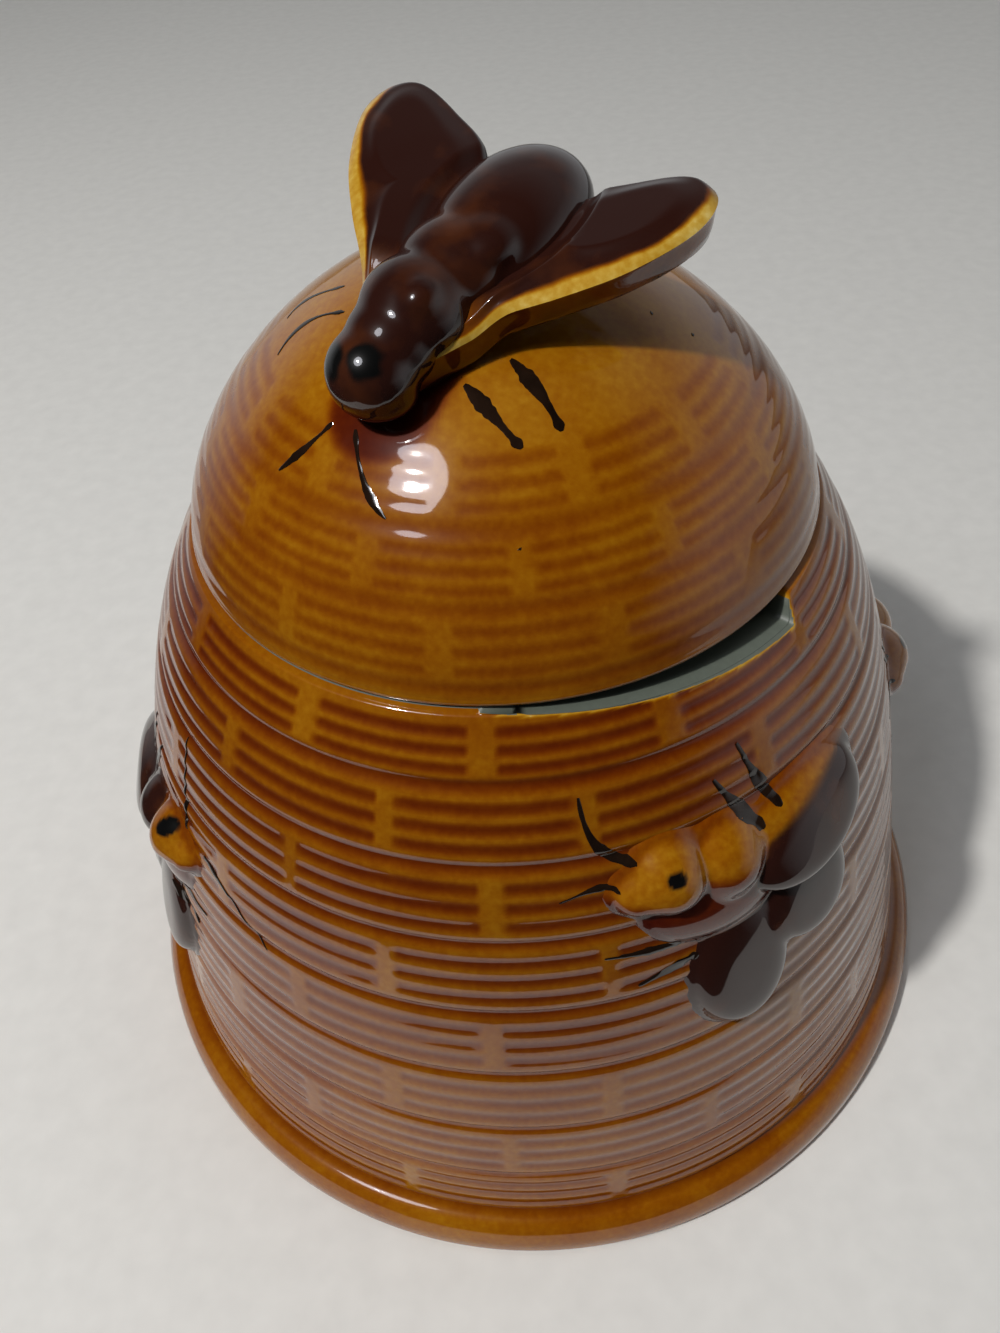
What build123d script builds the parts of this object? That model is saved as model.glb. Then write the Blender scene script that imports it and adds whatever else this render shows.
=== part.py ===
from build123d import *
import os
from math import asin, cos, degrees, hypot, radians, sin, sqrt

os.makedirs("parts", exist_ok=True)

# ---------------------------------------------------------------- sizes, mm
# Foot flange: the smooth flared ring that the pot stands on.
base_radius = 57.0
foot_height = 5.9
foot_edge_chamfer = 1.6
foot_flare = 0.5
foot_crest_share = 0.6

# Ribbed wall: an almost straight taper that turns in at the shoulder.
foot_ledge = 3.2
wall_taper = 12.5
shoulder_turn_in = 7.6
shoulder_power = 5
wall_thickness = 4.4
floor_thickness = 5.5

# Bands of the wall, from the foot up to the rim. A wide groove parts two bands.
band_heights = [8.2, 9.7, 10.4, 10.2, 9.6, 8.7, 7.7, 6.0]
band_groove_depth = 0.9
ribs_per_band = 4
rib_depth = 0.42

# Ties: short upright bars that bind each band of ribs, staggered from band to band.
ties_per_turn = 13
tie_width = 2.2
tie_setback = 0.08
first_tie_angle, next_tie_angle = -6.0, 7.8
first_lid_tie_angle, next_lid_tie_angle = -12.0, 2.0

# Dip in the rim: its floor slopes down and ends in an upright step.
dip_start_angle = -6.0
dip_end_angle = 50.0
dip_depth = 2.7

# Lid: a dome with a locating flange that drops into the mouth.
lid_power = 1.65
lid_wall = 4.0
lid_setback = 0.3
lid_edge_chamfer = 0.8
lid_lip_height = 2.3
lid_band_heights = [6.6, 5.2, 5.2]
lid_crown_height = 7.8
flange_depth = 6.0
flange_wall = 3.0
flange_clearance = 0.35

# Relief bees on the wall. Each is set by the place of its head. Each pod of a bee has the width of its front
# ball, the width of its rear ball and the spacing of their middles. Its place runs along the wall from the
# head and up the wall, and its relief is how far it stands out.
front_bee_angle, front_bee_height = 15.5, 60.0
left_bee_angle, left_bee_height = -60.0, 46.5
right_bee_angle, right_bee_height = 84.0, 51.0
head_front_width, head_rear_width, head_spacing = 5.6, 7.2, 2.8
head_along, head_up, head_relief = -0.2, 0.3, 4.2
thorax_front_width, thorax_rear_width, thorax_spacing = 8.2, 7.6, 1.0
thorax_along, thorax_up, thorax_relief = 7.7, -0.5, 4.4
abdomen_front_width, abdomen_rear_width, abdomen_spacing = 6.6, 5.2, 8.6
abdomen_along, abdomen_up, abdomen_relief = 17.8, 0.4, 3.8
wing_relief = 2.0
upper_wing_length, upper_wing_width, upper_wing_turn = 16.4, 9.2, 14.0
upper_wing_along, upper_wing_up = 16.8, -4.0
rear_wing_length, rear_wing_width, rear_wing_turn = 10.0, 10.4, -10.0
rear_wing_along, rear_wing_up = 15.4, -11.4
front_wing_length, front_wing_width, front_wing_turn = 10.0, 17.4, -3.0
front_wing_along, front_wing_up = 7.3, -14.0

# Finial bee: it stands across the crown of the lid. Its places run from the middle of the thorax, towards
# the tail, towards its left and up.
finial_x, finial_y, finial_lift = -5.8, -11.9, 4.54
finial_heading, finial_pitch, finial_roll = 50.0, 14.0, 6.0
finial_head_front_width, finial_head_rear_width, finial_head_spacing = 7.6, 8.0, 0.8
finial_head_place = (-6.7, 0.1, -2.5)
finial_thorax_front_width, finial_thorax_rear_width, finial_thorax_spacing = 7.8, 8.0, 1.0
finial_thorax_place = (-0.2, 0.2, -0.4)
finial_waist_front_width, finial_waist_rear_width, finial_waist_spacing = 7.2, 7.4, 2.4
finial_waist_place = (6.2, -0.3, -0.2)
finial_abdomen_front_width, finial_abdomen_rear_width, finial_abdomen_spacing = 10.6, 9.4, 2.4
finial_abdomen_place = (12.2, -1.4, -0.8)

# Petal wings of the finial: thick at the root, dished on top and cut back underneath.
petal_thickness = 3.0
petal_undercut = 1.1
petal_dish = 0.7
petal_rim = 1.3
petal_dihedral, petal_pitch = 6.0, 2.5
petal_leading = [(-6.0, 2.6), (-3.5, 4.2), (1.0, 7.0), (5.0, 11.0), (9.5, 14.8), (15.0, 17.6)]
petal_tip = [(15.0, 17.6), (19.4, 17.2), (20.6, 14.2)]
petal_trailing = [(20.6, 14.2), (19.2, 9.0), (17.0, 4.5), (10.0, 2.5), (2.0, 1.5), (-6.0, 2.6)]
petal_middle = (11.0, 9.4)

# ---------------------------------------------------------------- shape laws
rim_height = foot_height + sum(band_heights)
wall_height = rim_height - foot_height
wall_foot_radius = base_radius - foot_ledge


def wall_radius(z):
    """Radius over the ribs at height z."""
    t = (z - foot_height) / wall_height
    return wall_foot_radius - wall_taper * t - shoulder_turn_in * max(t, 0) ** shoulder_power


rim_radius = wall_radius(rim_height)
mouth_radius = rim_radius - wall_thickness
lid_radius = rim_radius - lid_setback
lid_height = lid_lip_height + sum(lid_band_heights) + lid_crown_height
flange_radius = mouth_radius - flange_clearance


def dome_radius(h, radius, height):
    """Radius of the dome at h above its lower edge."""
    return radius * (1 - (h / height) ** lid_power) ** (1 / lid_power)


def polar(radius, angle):
    """Point round the pot. 0 degrees is the front, -Y, and +90 is +X."""
    return (radius * sin(radians(angle)), -radius * cos(radians(angle)))


def under(radius_at, z, depth):
    """Point (r, z) that lies at a depth under the surface, square to it."""
    slope = (radius_at(z + 0.01) - radius_at(z - 0.01)) / 0.02
    lean = sqrt(1 + slope ** 2)
    return (radius_at(z) - depth / lean, z + depth * slope / lean)


def ribbed(radius_at, bottom, heights):
    """Profile of a stack of ribbed bands, from the bottom up, and the same profile over the crests alone.

    Every rib is one crest. The valleys inside a band are shallow, and those between bands are deep.
    """
    profile, crests = [], []
    z = bottom
    for height in heights:
        pitch = height / ribs_per_band
        for k in range(ribs_per_band):
            if z > bottom:
                profile.append(under(radius_at, z, rib_depth if k else band_groove_depth))
            crests.append((radius_at(z + pitch / 2), z + pitch / 2))
            profile.append(crests[-1])
            z = z + pitch
    return profile, crests


def tie_bars(radius_at, bottom, heights, angles):
    """Upright bars over the ribs of each band. They end at the band's grooves."""
    with BuildPart(mode=Mode.PRIVATE) as bars:
        for parity in (0, 1):
            with BuildPart(mode=Mode.PRIVATE) as rings:
                with BuildSketch(Plane.XZ):
                    for k, height in enumerate(heights):
                        if (len(heights) - 1 - k) % 2 == parity:
                            low = bottom + sum(heights[:k])
                            levels = [low + height * share for share in (0.12, 0.3, 0.5, 0.7, 0.88)]
                            ends = [under(radius_at, low + height * share, 2 * band_groove_depth)
                                    for share in (0.88, 0.5, 0.12)]
                            with BuildLine():
                                Polyline(*[under(radius_at, z, tie_setback) for z in levels], *ends,
                                         close=True)
                            make_face()
                revolve(axis=Axis.Z)
            with BuildPart(mode=Mode.PRIVATE) as fan:
                with PolarLocations(fan_radius, ties_per_turn, start_angle=angles[parity] - 90):
                    Box(base_radius, tie_width, 2 * rim_height, align=(Align.MIN, Align.CENTER, Align.MIN))
            add(rings.part & fan.part)
    return bars.part


# ---------------------------------------------------------------- pot
fan_radius = tie_width * ties_per_turn / 4
wall_points, wall_crests = ribbed(wall_radius, foot_height, band_heights)
wall_points = [(wall_foot_radius, foot_height), *wall_points, (rim_radius, rim_height)]
wall_crests = [(wall_foot_radius, foot_height), *wall_crests, (rim_radius, rim_height)]
inner_levels = [floor_thickness + (rim_height - floor_thickness) * k / 8 for k in range(9)]
inner_points = [(wall_radius(z) - wall_thickness, z) for z in inner_levels]

with BuildPart() as pot_body:
    with BuildSketch(Plane.XZ):
        with BuildLine():
            Polyline((0, 0), (base_radius - foot_edge_chamfer, 0), (base_radius, foot_edge_chamfer),
                     (base_radius - foot_flare, foot_height * foot_crest_share), *wall_points,
                     *reversed(inner_points), (0, floor_thickness), close=True)
        make_face()
    revolve(axis=Axis.Z)
    add(tie_bars(wall_radius, foot_height, band_heights, (first_tie_angle, next_tie_angle)))
    # The dip: a wedge over a sloping floor, kept to its own sector of the rim.
    mid_angle = (dip_start_angle + dip_end_angle) / 2
    half_span = rim_radius * sin(radians((dip_end_angle - dip_start_angle) / 2))
    across = Plane(origin=(0, 0, rim_height), x_dir=(*polar(1, mid_angle + 90), 0),
                   z_dir=(*polar(1, mid_angle), 0))
    with BuildPart(mode=Mode.PRIVATE) as wedge:
        with BuildSketch(across):
            with BuildLine():
                Polyline((-half_span, 0), (half_span, -dip_depth), (2 * half_span, -dip_depth),
                         (2 * half_span, dip_depth), (-half_span, dip_depth), close=True)
            make_face()
        extrude(amount=2 * rim_radius)
    with BuildPart(mode=Mode.PRIVATE) as sector:
        with BuildSketch(Plane.XY.offset(rim_height - 2 * dip_depth)):
            with BuildLine():
                Polyline((0, 0), polar(2 * rim_radius, dip_start_angle), polar(2 * rim_radius, mid_angle),
                         polar(2 * rim_radius, dip_end_angle), close=True)
            make_face()
        extrude(amount=4 * dip_depth)
    add(wedge.part & sector.part, mode=Mode.SUBTRACT)

# Smooth core inside the ribs, which the bees are cut against.
with BuildPart() as wall_core:
    with BuildSketch(Plane.XZ):
        with BuildLine():
            Polyline((0, foot_height), *wall_crests, (0, rim_height), close=True)
        make_face()
    revolve(axis=Axis.Z)
with BuildPart() as wing_layer:
    with BuildSketch(Plane.XZ):
        with BuildLine():
            Polyline((0, foot_height), *[(r + wing_relief, z) for r, z in wall_crests],
                     (0, rim_height), close=True)
        make_face()
    revolve(axis=Axis.Z)
    add(wall_core.part, mode=Mode.SUBTRACT)


def wall_plane(angle, z):
    """Plane that touches the wall: x runs round the pot, y up, z outwards."""
    x, y = polar(wall_radius(z), angle)
    return Plane(origin=(x, y, z), x_dir=(*polar(1, angle + 90), 0), z_dir=(*polar(1, angle), 0))


def pod(plane, front_width, rear_width, spacing):
    """Pod along the plane's x axis, centred on the plane: two balls and the cone that touches both."""
    front, rear = front_width / 2, rear_width / 2
    sine = (front - rear) / spacing
    cosine = sqrt(1 - sine ** 2)
    front_x, rear_x = -spacing / 2, spacing / 2
    turn = (90 + degrees(asin(sine))) / 2
    with BuildPart(mode=Mode.PRIVATE) as turned:
        with BuildSketch(Plane(origin=plane.origin, x_dir=plane.x_dir, z_dir=plane.y_dir)):
            with BuildLine():
                ThreePointArc((front_x - front, 0),
                              (front_x - front * cos(radians(turn)), -front * sin(radians(turn))),
                              (front_x + front * sine, -front * cosine))
                Line((front_x + front * sine, -front * cosine), (rear_x + rear * sine, -rear * cosine))
                ThreePointArc((rear_x + rear * sine, -rear * cosine),
                              (rear_x + rear * sin(radians(turn)), -rear * cos(radians(turn))),
                              (rear_x + rear, 0))
                Line((rear_x + rear, 0), (front_x - front, 0))
            make_face()
        revolve(axis=Axis(plane.origin, plane.x_dir))
    return turned.part


def wall_bee(head_angle, head_z, facing):
    """Relief bee. Its body runs round the pot from the head, and its wings hang below.

    facing is 1 where the tail is to the right of the head, and -1 where it is to the left.
    """
    def spot(along, up, lift=0.0):
        """Plane on the wall. Its x axis runs towards the tail."""
        angle = head_angle + facing * degrees(along / wall_radius(head_z))
        wall = wall_plane(angle, head_z + up).offset(lift)
        return Plane(origin=wall.origin, x_dir=wall.x_dir * facing, z_dir=wall.z_dir)

    wings = [(upper_wing_along, upper_wing_up, upper_wing_length, upper_wing_width, upper_wing_turn),
             (rear_wing_along, rear_wing_up, rear_wing_length, rear_wing_width, rear_wing_turn),
             (front_wing_along, front_wing_up, front_wing_length, front_wing_width, front_wing_turn)]
    pods = [(head_along, head_up, head_relief, head_front_width, head_rear_width, head_spacing),
            (thorax_along, thorax_up, thorax_relief, thorax_front_width, thorax_rear_width, thorax_spacing),
            (abdomen_along, abdomen_up, abdomen_relief, abdomen_front_width, abdomen_rear_width,
             abdomen_spacing)]
    with BuildPart() as bee_wings:
        for along, up, length, width, turn in wings:
            with BuildSketch(spot(along, up)):
                Ellipse(length / 2, width / 2, rotation=facing * turn)
            extrude(amount=4 * wing_relief, both=True)
        add(wing_layer.part, mode=Mode.INTERSECT)
    with BuildPart() as bee:
        for along, up, relief, front_width, rear_width, spacing in pods:
            add(pod(spot(along, up, relief - max(front_width, rear_width) / 2), front_width, rear_width,
                    spacing))
        add(wall_core.part, mode=Mode.SUBTRACT)
        add(bee_wings.part)
    return bee


bee_front = wall_bee(front_bee_angle, front_bee_height, 1)
bee_left = wall_bee(left_bee_angle, left_bee_height, -1)
bee_right = wall_bee(right_bee_angle, right_bee_height, 1)

# ---------------------------------------------------------------- lid
seat = rim_height


def lid_surface(z):
    return dome_radius(z - seat, lid_radius, lid_height)


crown_start = seat + lid_lip_height + sum(lid_band_heights)
lid_points, lid_crests = ribbed(lid_surface, seat + lid_lip_height, lid_band_heights)
crown_levels = [crown_start + lid_crown_height * k / 7 for k in range(1, 7)]
lid_points = [(lid_radius, seat + lid_edge_chamfer),
              (lid_surface(seat + lid_lip_height / 2), seat + lid_lip_height / 2),
              under(lid_surface, seat + lid_lip_height, band_groove_depth), *lid_points,
              under(lid_surface, crown_start, band_groove_depth),
              *[(lid_surface(z), z) for z in crown_levels], (0, seat + lid_height)]
lid_crests = [(lid_radius, seat), *lid_crests, *[(lid_surface(z), z) for z in crown_levels],
              (0, seat + lid_height)]
inner_lid_height = lid_height - lid_wall
inner_lid_levels = [inner_lid_height * k / 8 for k in range(7, -1, -1)]
inside_radius = flange_radius - flange_wall

with BuildPart() as lid_shell:
    with BuildSketch(Plane.XZ):
        with BuildLine():
            Polyline((flange_radius, seat), (lid_radius - lid_edge_chamfer, seat),
                     *lid_points, (0, seat + inner_lid_height),
                     *[(dome_radius(h, inside_radius, inner_lid_height), seat + h) for h in inner_lid_levels],
                     (inside_radius, seat - flange_depth), (flange_radius, seat - flange_depth), close=True)
        make_face()
    revolve(axis=Axis.Z)
    add(tie_bars(lid_surface, seat + lid_lip_height, lid_band_heights,
                 (first_lid_tie_angle, next_lid_tie_angle)))

with BuildPart() as dome_core:
    with BuildSketch(Plane.XZ):
        with BuildLine():
            Polyline((0, seat), *lid_crests, close=True)
        make_face()
    revolve(axis=Axis.Z)

# ---------------------------------------------------------------- finial bee
finial_radius = hypot(finial_x, finial_y)
crown_under_bee = seat + lid_height * (1 - (finial_radius / lid_radius) ** lid_power) ** (1 / lid_power)
heading, pitch, roll = radians(finial_heading), radians(finial_pitch), radians(finial_roll)
to_tail = Vector(cos(heading) * cos(pitch), sin(heading) * cos(pitch), sin(pitch))
level_left = Vector(-sin(heading), cos(heading), 0)
bee_plane = Plane(origin=(finial_x, finial_y, crown_under_bee + finial_lift), x_dir=to_tail,
                  z_dir=to_tail.cross(level_left) * cos(roll) - level_left * sin(roll))


def on_bee(place):
    """The bee's plane moved to a place in its own coordinates: towards the tail, left and up."""
    return Plane(origin=bee_plane.from_local_coords(Vector(*place)), x_dir=bee_plane.x_dir,
                 z_dir=bee_plane.z_dir)


finial_pods = [
    pod(on_bee(finial_head_place), finial_head_front_width, finial_head_rear_width, finial_head_spacing),
    pod(on_bee(finial_thorax_place), finial_thorax_front_width, finial_thorax_rear_width,
        finial_thorax_spacing),
    pod(on_bee(finial_waist_place), finial_waist_front_width, finial_waist_rear_width,
        finial_waist_spacing),
    pod(on_bee(finial_abdomen_place), finial_abdomen_front_width, finial_abdomen_rear_width,
        finial_abdomen_spacing)]
with BuildPart() as finial_body:
    for body_pod in finial_pods:
        add(body_pod)
    add(dome_core.part, mode=Mode.SUBTRACT)


def finial_wing(side):
    """Petal wing, swept back and lifted outwards. side is 1 on the bee's left, -1 on its right."""
    panel = bee_plane.rotated((side * petal_dihedral, -petal_pitch, 0))

    def moved(points, inset):
        """The outline's points on this side, each moved towards the middle of the wing."""
        for x, y in points:
            inwards = (Vector(*petal_middle) - Vector(x, y)).normalized() * inset
            yield (x + inwards.X, side * (y + inwards.Y))

    def outline(inset):
        Spline(*moved(petal_leading, inset))
        ThreePointArc(*moved(petal_tip, inset))
        Spline(*moved(petal_trailing, inset))

    with BuildPart() as wing:
        for depth, inset in ((0, 0), (petal_thickness, petal_undercut)):
            with BuildSketch(panel.offset(-depth)):
                with BuildLine():
                    outline(inset)
                make_face()
        loft()
        with BuildSketch(panel):
            with BuildLine():
                outline(petal_rim)
            make_face()
        extrude(amount=-petal_dish, mode=Mode.SUBTRACT)
        add(dome_core.part, mode=Mode.SUBTRACT)
        for body_pod in finial_pods:
            add(body_pod, mode=Mode.SUBTRACT)
    return wing


finial_wing_right = finial_wing(1)
finial_wing_left = finial_wing(-1)

# ---------------------------------------------------------------- write the parts
for name, piece in (("pot_body", pot_body), ("bee_front", bee_front), ("bee_left", bee_left),
                    ("bee_right", bee_right), ("lid_shell", lid_shell), ("finial_body", finial_body),
                    ("finial_wing_left", finial_wing_left), ("finial_wing_right", finial_wing_right)):
    piece.part.label = name
    export_step(piece.part, f"parts/{name}.step")
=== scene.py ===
# %% [markdown]
# # A beehive honey pot in treacle-brown glaze
# The real pot is cast earthenware, dipped in one translucent amber glaze. Two pieces move apart, the pot
# and its domed lid, and the bees are moulded clay that was stuck on before firing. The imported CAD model
# gives every size, and this lesson dresses it: it makes the fine ribs, the bees and the painted lines that
# a CAD solid leaves out, and it mixes the glazes.

import functools
import math

import bmesh
import bpy
from mathutils import Matrix, Vector, noise


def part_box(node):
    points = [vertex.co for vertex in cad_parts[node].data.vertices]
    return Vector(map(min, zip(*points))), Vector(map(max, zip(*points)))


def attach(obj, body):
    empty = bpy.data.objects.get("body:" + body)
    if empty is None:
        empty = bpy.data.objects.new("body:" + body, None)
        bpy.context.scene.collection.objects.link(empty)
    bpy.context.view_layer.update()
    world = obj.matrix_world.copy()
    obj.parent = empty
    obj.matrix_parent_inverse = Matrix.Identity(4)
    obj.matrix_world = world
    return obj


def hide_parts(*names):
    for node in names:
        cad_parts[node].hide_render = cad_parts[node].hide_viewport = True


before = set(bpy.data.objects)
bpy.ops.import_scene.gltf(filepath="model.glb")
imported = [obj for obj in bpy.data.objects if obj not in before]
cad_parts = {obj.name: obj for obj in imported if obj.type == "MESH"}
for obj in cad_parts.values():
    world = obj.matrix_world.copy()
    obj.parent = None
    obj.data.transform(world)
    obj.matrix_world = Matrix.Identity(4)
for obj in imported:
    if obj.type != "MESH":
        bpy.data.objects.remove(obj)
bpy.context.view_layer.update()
MM = 0.001
print("CAD nodes:", ", ".join(sorted(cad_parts)))

# %% [markdown]
# ## Sizes
# Lengths here are millimetres, because a potter would measure this in millimetres. The large ones are read
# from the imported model, so a change to the model carries through. The wall follows two laws: a straight
# taper from the foot, and a fifth-power curve that turns it in at the shoulder. The lid is a superellipse.

# %% Sizes of the pot and the lid
pot_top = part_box("pot_body")[1] / MM
lid_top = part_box("lid_shell")[1] / MM
base_radius, rim_height = pot_top.x, pot_top.z
lid_radius, dome_top = lid_top.x, lid_top.z
foot_height, foot_edge = 5.9, 1.6
wall_foot_radius, wall_taper, shoulder_turn_in, shoulder_power = 53.8, 12.5, 7.6, 5
wall_thickness, floor_thickness = 4.4, 5.5
lid_power, lid_wall, lid_lip, lid_edge = 1.65, 4.0, 2.3, 0.8
flange_depth, flange_wall, flange_clearance = 6.0, 3.0, 0.35
pot_bands = [foot_height, 14.1, 23.8, 34.2, 44.4, 54.0, 62.7, 70.4, rim_height]
lid_bands = [rim_height + lid_lip, 85.3, 90.5, 95.7]
# A hair's breadth, so that a vertex which lies on a border counts as inside it.
hair = 0.01


def wall_radius(z):
    """Radius over the ribs of the pot at height z."""
    share = (z - foot_height) / (rim_height - foot_height)
    return wall_foot_radius - wall_taper * share - shoulder_turn_in * max(share, 0) ** shoulder_power


def superellipse(share):
    """How far out a superellipse is at a share of its height, or how high at a share of its radius."""
    return (1 - share ** lid_power) ** (1 / lid_power)


def dome_radius(z):
    """Radius of the lid at height z."""
    return lid_radius * superellipse(min(max((z - rim_height) / (dome_top - rim_height), 0), 1))


rim_radius = wall_radius(rim_height)
flange_radius = rim_radius - wall_thickness - flange_clearance
print(f"foot {2 * base_radius:.1f} mm, rim {2 * rim_radius:.1f} mm, lid top at {dome_top:.1f} mm")

# %% [markdown]
# ## Camera
# The pot is seen from close by and from above, so it tapers strongly towards its foot. A close camera with
# an ordinary lens makes that taper, and a long lens from far away wouldn't.

# %% Camera
camera_place = Vector((0.0, -95.26, 148.03)) * MM
camera_right = Vector((0.99680, -0.04674, -0.06485))
camera_up = Vector((0.07844, 0.72837, 0.68068))
camera_data = bpy.data.cameras.new("camera")
camera_data.sensor_fit = "HORIZONTAL"
camera_data.sensor_width, camera_data.lens = 36, 38.88
camera_data.clip_start = 0.01
camera = bpy.data.objects.new("camera", camera_data)
bpy.context.collection.objects.link(camera)
axes = Matrix((camera_right, camera_up, camera_right.cross(camera_up))).transposed()
camera.matrix_world = Matrix.Translation(camera_place) @ axes.to_4x4()
bpy.context.scene.camera = camera
bpy.context.scene.view_settings.view_transform = "Standard"
print("camera", round(camera_place.length / MM), "mm from the middle of the foot")

# %% [markdown]
# ## Shader values as sums
# A material is a graph of nodes, and writing a graph link by link hides the arithmetic in it. This class
# wraps one output socket and gives it Python's operators, so that a line of Python adds the Math nodes.

# %% A socket that can be added and multiplied
class Value:
    """One output socket of a material, with arithmetic."""

    def __init__(self, tree, socket):
        self.tree = tree
        self.socket = socket

    def node(self, kind, settings=None, **inputs):
        """Add any node. Settings are set first, then its sockets by name. Returns the node's outputs."""
        made = self.tree.nodes.new(kind)
        for name, setting in (settings or {}).items():
            setattr(made, name, setting)
        for name, given in inputs.items():
            socket = made.inputs[int(name[1:])] if name[0] == "_" else made.inputs[name.replace("_", " ")]
            if isinstance(given, Value):
                self.tree.links.new(given.socket, socket)
            else:
                socket.default_value = given
        return [Value(self.tree, out) for out in made.outputs]

    def math(self, operation, *others, clamp=False):
        """A Math node on this value and up to two more."""
        values = {f"_{k}": v for k, v in enumerate((self, *others))}
        return self.node("ShaderNodeMath", {"operation": operation, "use_clamp": clamp}, **values)[0]

    def __add__(self, other):
        return self.math("ADD", other)

    def __sub__(self, other):
        return self.math("SUBTRACT", other)

    def __mul__(self, other):
        return self.math("MULTIPLY", other)

    def __truediv__(self, other):
        return self.math("DIVIDE", other)

    def __radd__(self, other):
        return self + other

    def __rsub__(self, other):
        return self * -1.0 + other

    def __rpow__(self, other):
        """A number to the power of this value, such as 0.4 ** thickness."""
        return self.math("MULTIPLY", math.log(other)).math("EXPONENT")

    def clamp(self):
        return self.math("ADD", 0.0, clamp=True)

    def mix(self, low, high):
        """The value that goes from low to high as this goes from 0 to 1."""
        return low + self * (high - low)


def new_material(name):
    """A material with an empty Principled shader. Returns the material, its shader and a starting value."""
    material = bpy.data.materials.new(name)
    material.use_nodes = True
    tree = material.node_tree
    shader = next(n for n in tree.nodes if n.type == "BSDF_PRINCIPLED")
    coordinates = tree.nodes.new("ShaderNodeTexCoord")
    return material, shader, Value(tree, coordinates.outputs["Object"])


# %% [markdown]
# ## Glaze
# The glaze is coloured glass over white clay. Light crosses it twice, so each colour is lost by a power of
# the glaze's thickness: thin glaze on an edge is straw yellow, and thick glaze in a groove is red-brown.
# One number, the thickness, therefore drives the whole colour. Meshes carry three attributes: "pool" is
# extra thickness, "dark" is a coat of manganese brown and "ink" is black brushwork.

# %% Glaze materials
clear_amber = (0.33, 0.115, 0.0016)
dark_brown = (0.026, 0.0070, 0.0045)
warm_brown = (0.105, 0.028, 0.0070)
ink_black = 0.0035
glaze_index = 1.6
groove_thickness = 0.85
haze_share, haze_roughness = 0.12, 0.33
# Each noise in the glaze: its scale, in lumps to the metre, and its detail. In order they are the broad
# drift of the glaze, its patches, its grain and the waves of its surface.
glaze_noises = [(42.0, 2.0), (210.0, 3.0), (1300.0, 3.0), (170.0, 1.0)]
broad_share, patch_share, grain_share = 0.7, 0.35, 4
streak_broad, streak_patch, streak_threshold = 2.2, 2.0, 0.04
wave_strength, wave_depth = 0.10, 0.0005


def glaze(name, roughness=0.05, mottle=0.10):
    """Amber glaze, coloured by its thickness and by the three attributes that its meshes carry."""
    material, shader, place = new_material(name)
    tree = place.tree
    pool, dark, ink = [place.node("ShaderNodeAttribute", {"attribute_name": attribute})[2]
                       for attribute in ("pool", "dark", "ink")]
    broad, patches, grain, waves = [
        place.node("ShaderNodeTexNoise", Vector=place, Scale=scale, Detail=detail)[0]
        for scale, detail in glaze_noises]
    drift, patch = broad - 0.5, patches - 0.5
    unevenness = drift * broad_share + patch * patch_share + (grain - 0.5) * mottle * grain_share
    thickness = 1.0 + pool * groove_thickness + unevenness
    amber = [share ** thickness for share in clear_amber]
    streak = (drift * streak_broad + patch * streak_patch - streak_threshold).clamp()
    brown = [streak.mix(low, high) for low, high in zip(dark_brown, warm_brown)]
    cover = dark.clamp()
    black = ink.clamp()
    shades = [black.mix(cover.mix(low, high), ink_black) for low, high in zip(amber, brown)]
    colour = place.node("ShaderNodeCombineColor", Red=shades[0], Green=shades[1], Blue=shades[2])[0]
    tree.links.new(colour.socket, shader.inputs["Base Color"])
    bump = place.node("ShaderNodeBump", Strength=wave_strength, Distance=wave_depth, Height=waves)[0]
    tree.links.new(bump.socket, shader.inputs["Normal"])
    shader.inputs["Roughness"].default_value = roughness
    shader.inputs["IOR"].default_value = glaze_index
    shader.inputs["Coat Weight"].default_value = haze_share
    shader.inputs["Coat Roughness"].default_value = haze_roughness
    return material


honey_glaze = glaze("honey_glaze")
bee_glaze = glaze("bee_glaze", mottle=0.14)
finial_glaze = glaze("finial_glaze", roughness=0.04, mottle=0.14)


def plain_finish(name, tone, roughness, grain_scale, grain_depth, grain_detail=4.0, index=glaze_index):
    """One colour with a fine grain in its tone, for clay darkened with painted shade, brushed black and the
    floor.
    """
    material, shader, place = new_material(name)
    grain = place.node("ShaderNodeTexNoise", Vector=place, Scale=grain_scale, Detail=grain_detail)[0]
    factor = 1.0 + (grain - 0.5) * grain_depth
    parts = [factor * share for share in tone]
    colour = place.node("ShaderNodeCombineColor", Red=parts[0], Green=parts[1], Blue=parts[2])[0]
    place.tree.links.new(colour.socket, shader.inputs["Base Color"])
    shader.inputs["Roughness"].default_value = roughness
    shader.inputs["IOR"].default_value = index
    return material


brushed_black = plain_finish("brushed_black", (0.014, 0.007, 0.004), roughness=0.09, grain_scale=330.0,
                             grain_depth=2.4)
# Unglazed clay with painted shade: its dark grey-green tone stands in for the shadow under the lid's edge,
# on the rim's top and the undersides alike.
bare_clay = plain_finish("bare_clay", (0.115, 0.135, 0.110), roughness=0.5, grain_scale=1500.0,
                         grain_depth=0.3)
print("materials:", ", ".join(m.name for m in bpy.data.materials if m.name.islower()))

# %% [markdown]
# ## Floor and light
# The floor is a plain pale board. Its front and left edges are just out of the camera's view, and the studio
# beyond them is dark. The glaze mirrors the board, and that pale veil on the lower wall is part of how
# glazed ware looks. The upper wall mirrors the dark studio, so it keeps its full colour. A small hard lamp
# and a wide faint one share a direction: together they act as a hazy sun. A weak lamp overhead fills the
# shadows, and the glaze doesn't mirror it. The studio itself is pale low down at the back right, and dark
# towards the viewer, to the left and overhead.

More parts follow.
